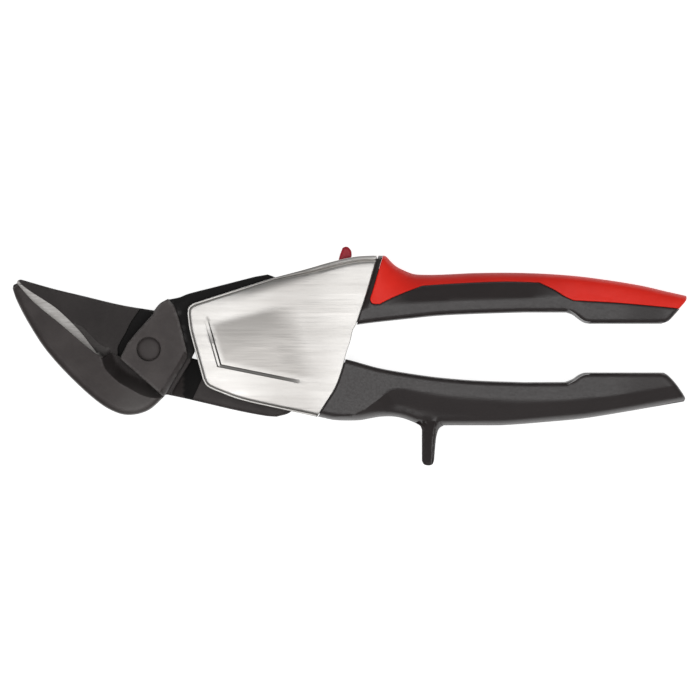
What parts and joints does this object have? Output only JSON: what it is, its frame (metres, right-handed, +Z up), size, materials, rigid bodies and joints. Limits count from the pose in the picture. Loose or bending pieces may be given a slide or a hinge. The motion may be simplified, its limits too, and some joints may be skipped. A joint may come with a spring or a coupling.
{
  "type": "aviation snips",
  "caption": "Compound-lever aviation snips with offset blades, pressed steel cover, black and red moulded grips, a finger spur and a thumb latch.",
  "frame": {"origin": "middle of the bounding box of the closed tool in plan, on the plane it lies on", "axes": "+X along the tool from the blade tips to the grip ends, +Y towards the upper handle with the latch, +Z up out of the front cover"},
  "size_m": [0.28, 0.091, 0.02],
  "materials": {
    "forged_steel": "black oxide, satin",
    "core_steel": "phosphated, satin",
    "cover_steel": "brushed",
    "bolt_steel": "black oxide",
    "bright_steel": "ground",
    "bronze": "plain",
    "spring_steel": "drawn wire",
    "black_grip": "fine matt",
    "red_grip": "soft matt",
    "red_tab": "semi-gloss"
  },
  "bodies": {
    "upper_handle": {"upper_handle_core": "core_steel", "upper_grip": "black_grip", "upper_grip_inlay": "red_grip", "cover_front": "cover_steel", "cover_rear": "cover_steel", "cover_screws": "bolt_steel", "handle_pivot_pin": "bright_steel", "upper_lever_pin": "bright_steel", "cover_post": "bright_steel", "pin_spacers": "bright_steel", "lever_retainer": "spring_steel", "opening_spring": "spring_steel", "spring_post": "bright_steel", "latch_pin": "bright_steel"},
    "lower_handle": {"lower_handle_core": "core_steel", "lower_grip": "black_grip", "lower_lever_pin": "bright_steel", "lower_pin_clip": "spring_steel", "spring_stop": "bright_steel"},
    "lower_blade_forging": {"lower_blade": "forged_steel", "blade_bolt": "bolt_steel", "blade_washer": "spring_steel", "blade_nut": "bolt_steel", "upper_lever_bush": "bronze"},
    "upper_blade_forging": {"upper_blade": "forged_steel", "blade_bush": "bronze"},
    "latch": {"latch_lever": "core_steel", "latch_tab": "red_tab"}
  },
  "joints": [
    {"name": "handle_hinge", "type": "hinge", "parent": "upper_handle", "child": "lower_handle", "pos_m": [-0.05815, 0.00335, 0.0095], "axis": [0, 0, -1], "range_deg": [0, 28], "stiffness_Nm_per_rad": 1.5, "springref_deg": 68.75},
    {"name": "upper_lever_hinge", "type": "hinge", "parent": "upper_handle", "child": "lower_blade_forging", "pos_m": [-0.03315, 0.02385, 0.0095], "axis": [0, 0, -1], "range_deg": [0, 7.36]},
    {"name": "blade_pivot", "type": "hinge", "parent": "lower_blade_forging", "child": "upper_blade_forging", "pos_m": [-0.08315, 0.00285, 0.0095], "axis": [0, 0, -1], "range_deg": [0, 13.3]},
    {"name": "latch_hinge", "type": "hinge", "parent": "upper_handle", "child": "latch", "pos_m": [-0.00615, 0.03335, 0.0095], "axis": [0, 0, 1], "range_deg": [0, 7]}
  ],
  "couplings": [
    {"joint": "upper_lever_hinge", "follows": "handle_hinge", "ratio": 0.2626},
    {"joint": "blade_pivot", "follows": "handle_hinge", "ratio": 0.4744}
  ]
}
